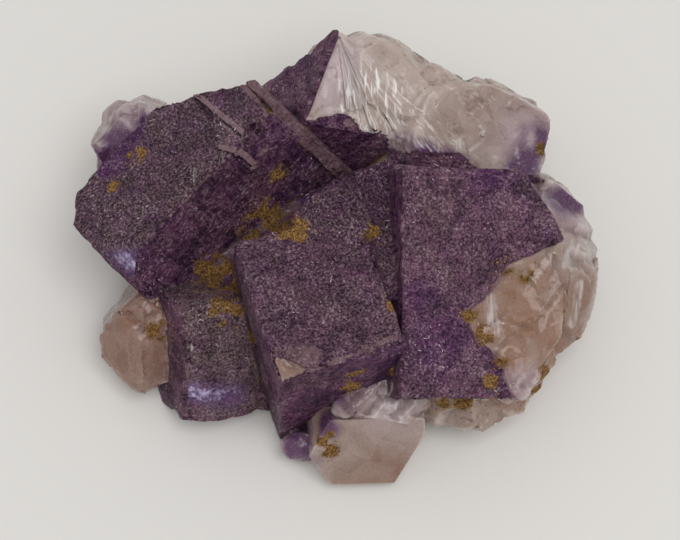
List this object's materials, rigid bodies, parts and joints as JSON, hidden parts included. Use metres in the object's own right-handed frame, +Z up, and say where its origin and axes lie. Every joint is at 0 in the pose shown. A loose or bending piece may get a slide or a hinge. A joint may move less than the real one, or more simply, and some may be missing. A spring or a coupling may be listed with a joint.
{
  "type": "fluorite crystal cluster",
  "caption": "Hand specimen of intergrown violet fluorite cubes with pale octahedral cleavage breaks round the rim and a flat broken base to lie on, for display.",
  "frame": {"origin": "on the flat underside, under the middle of the cluster", "axes": "+Z up out of the flat underside, +X along the longest extent to the viewer's right, +Y away from the viewer"},
  "size_m": [0.0637, 0.0534, 0.029],
  "materials": {
    "violet_fluorite": "dusty violet growth faces over a pale milky inside, glassy where cleaved, ochre limonite in the crevices"
  },
  "bodies": {
    "root": {"fluorite_cluster": "violet_fluorite"}
  },
  "joints": []
}
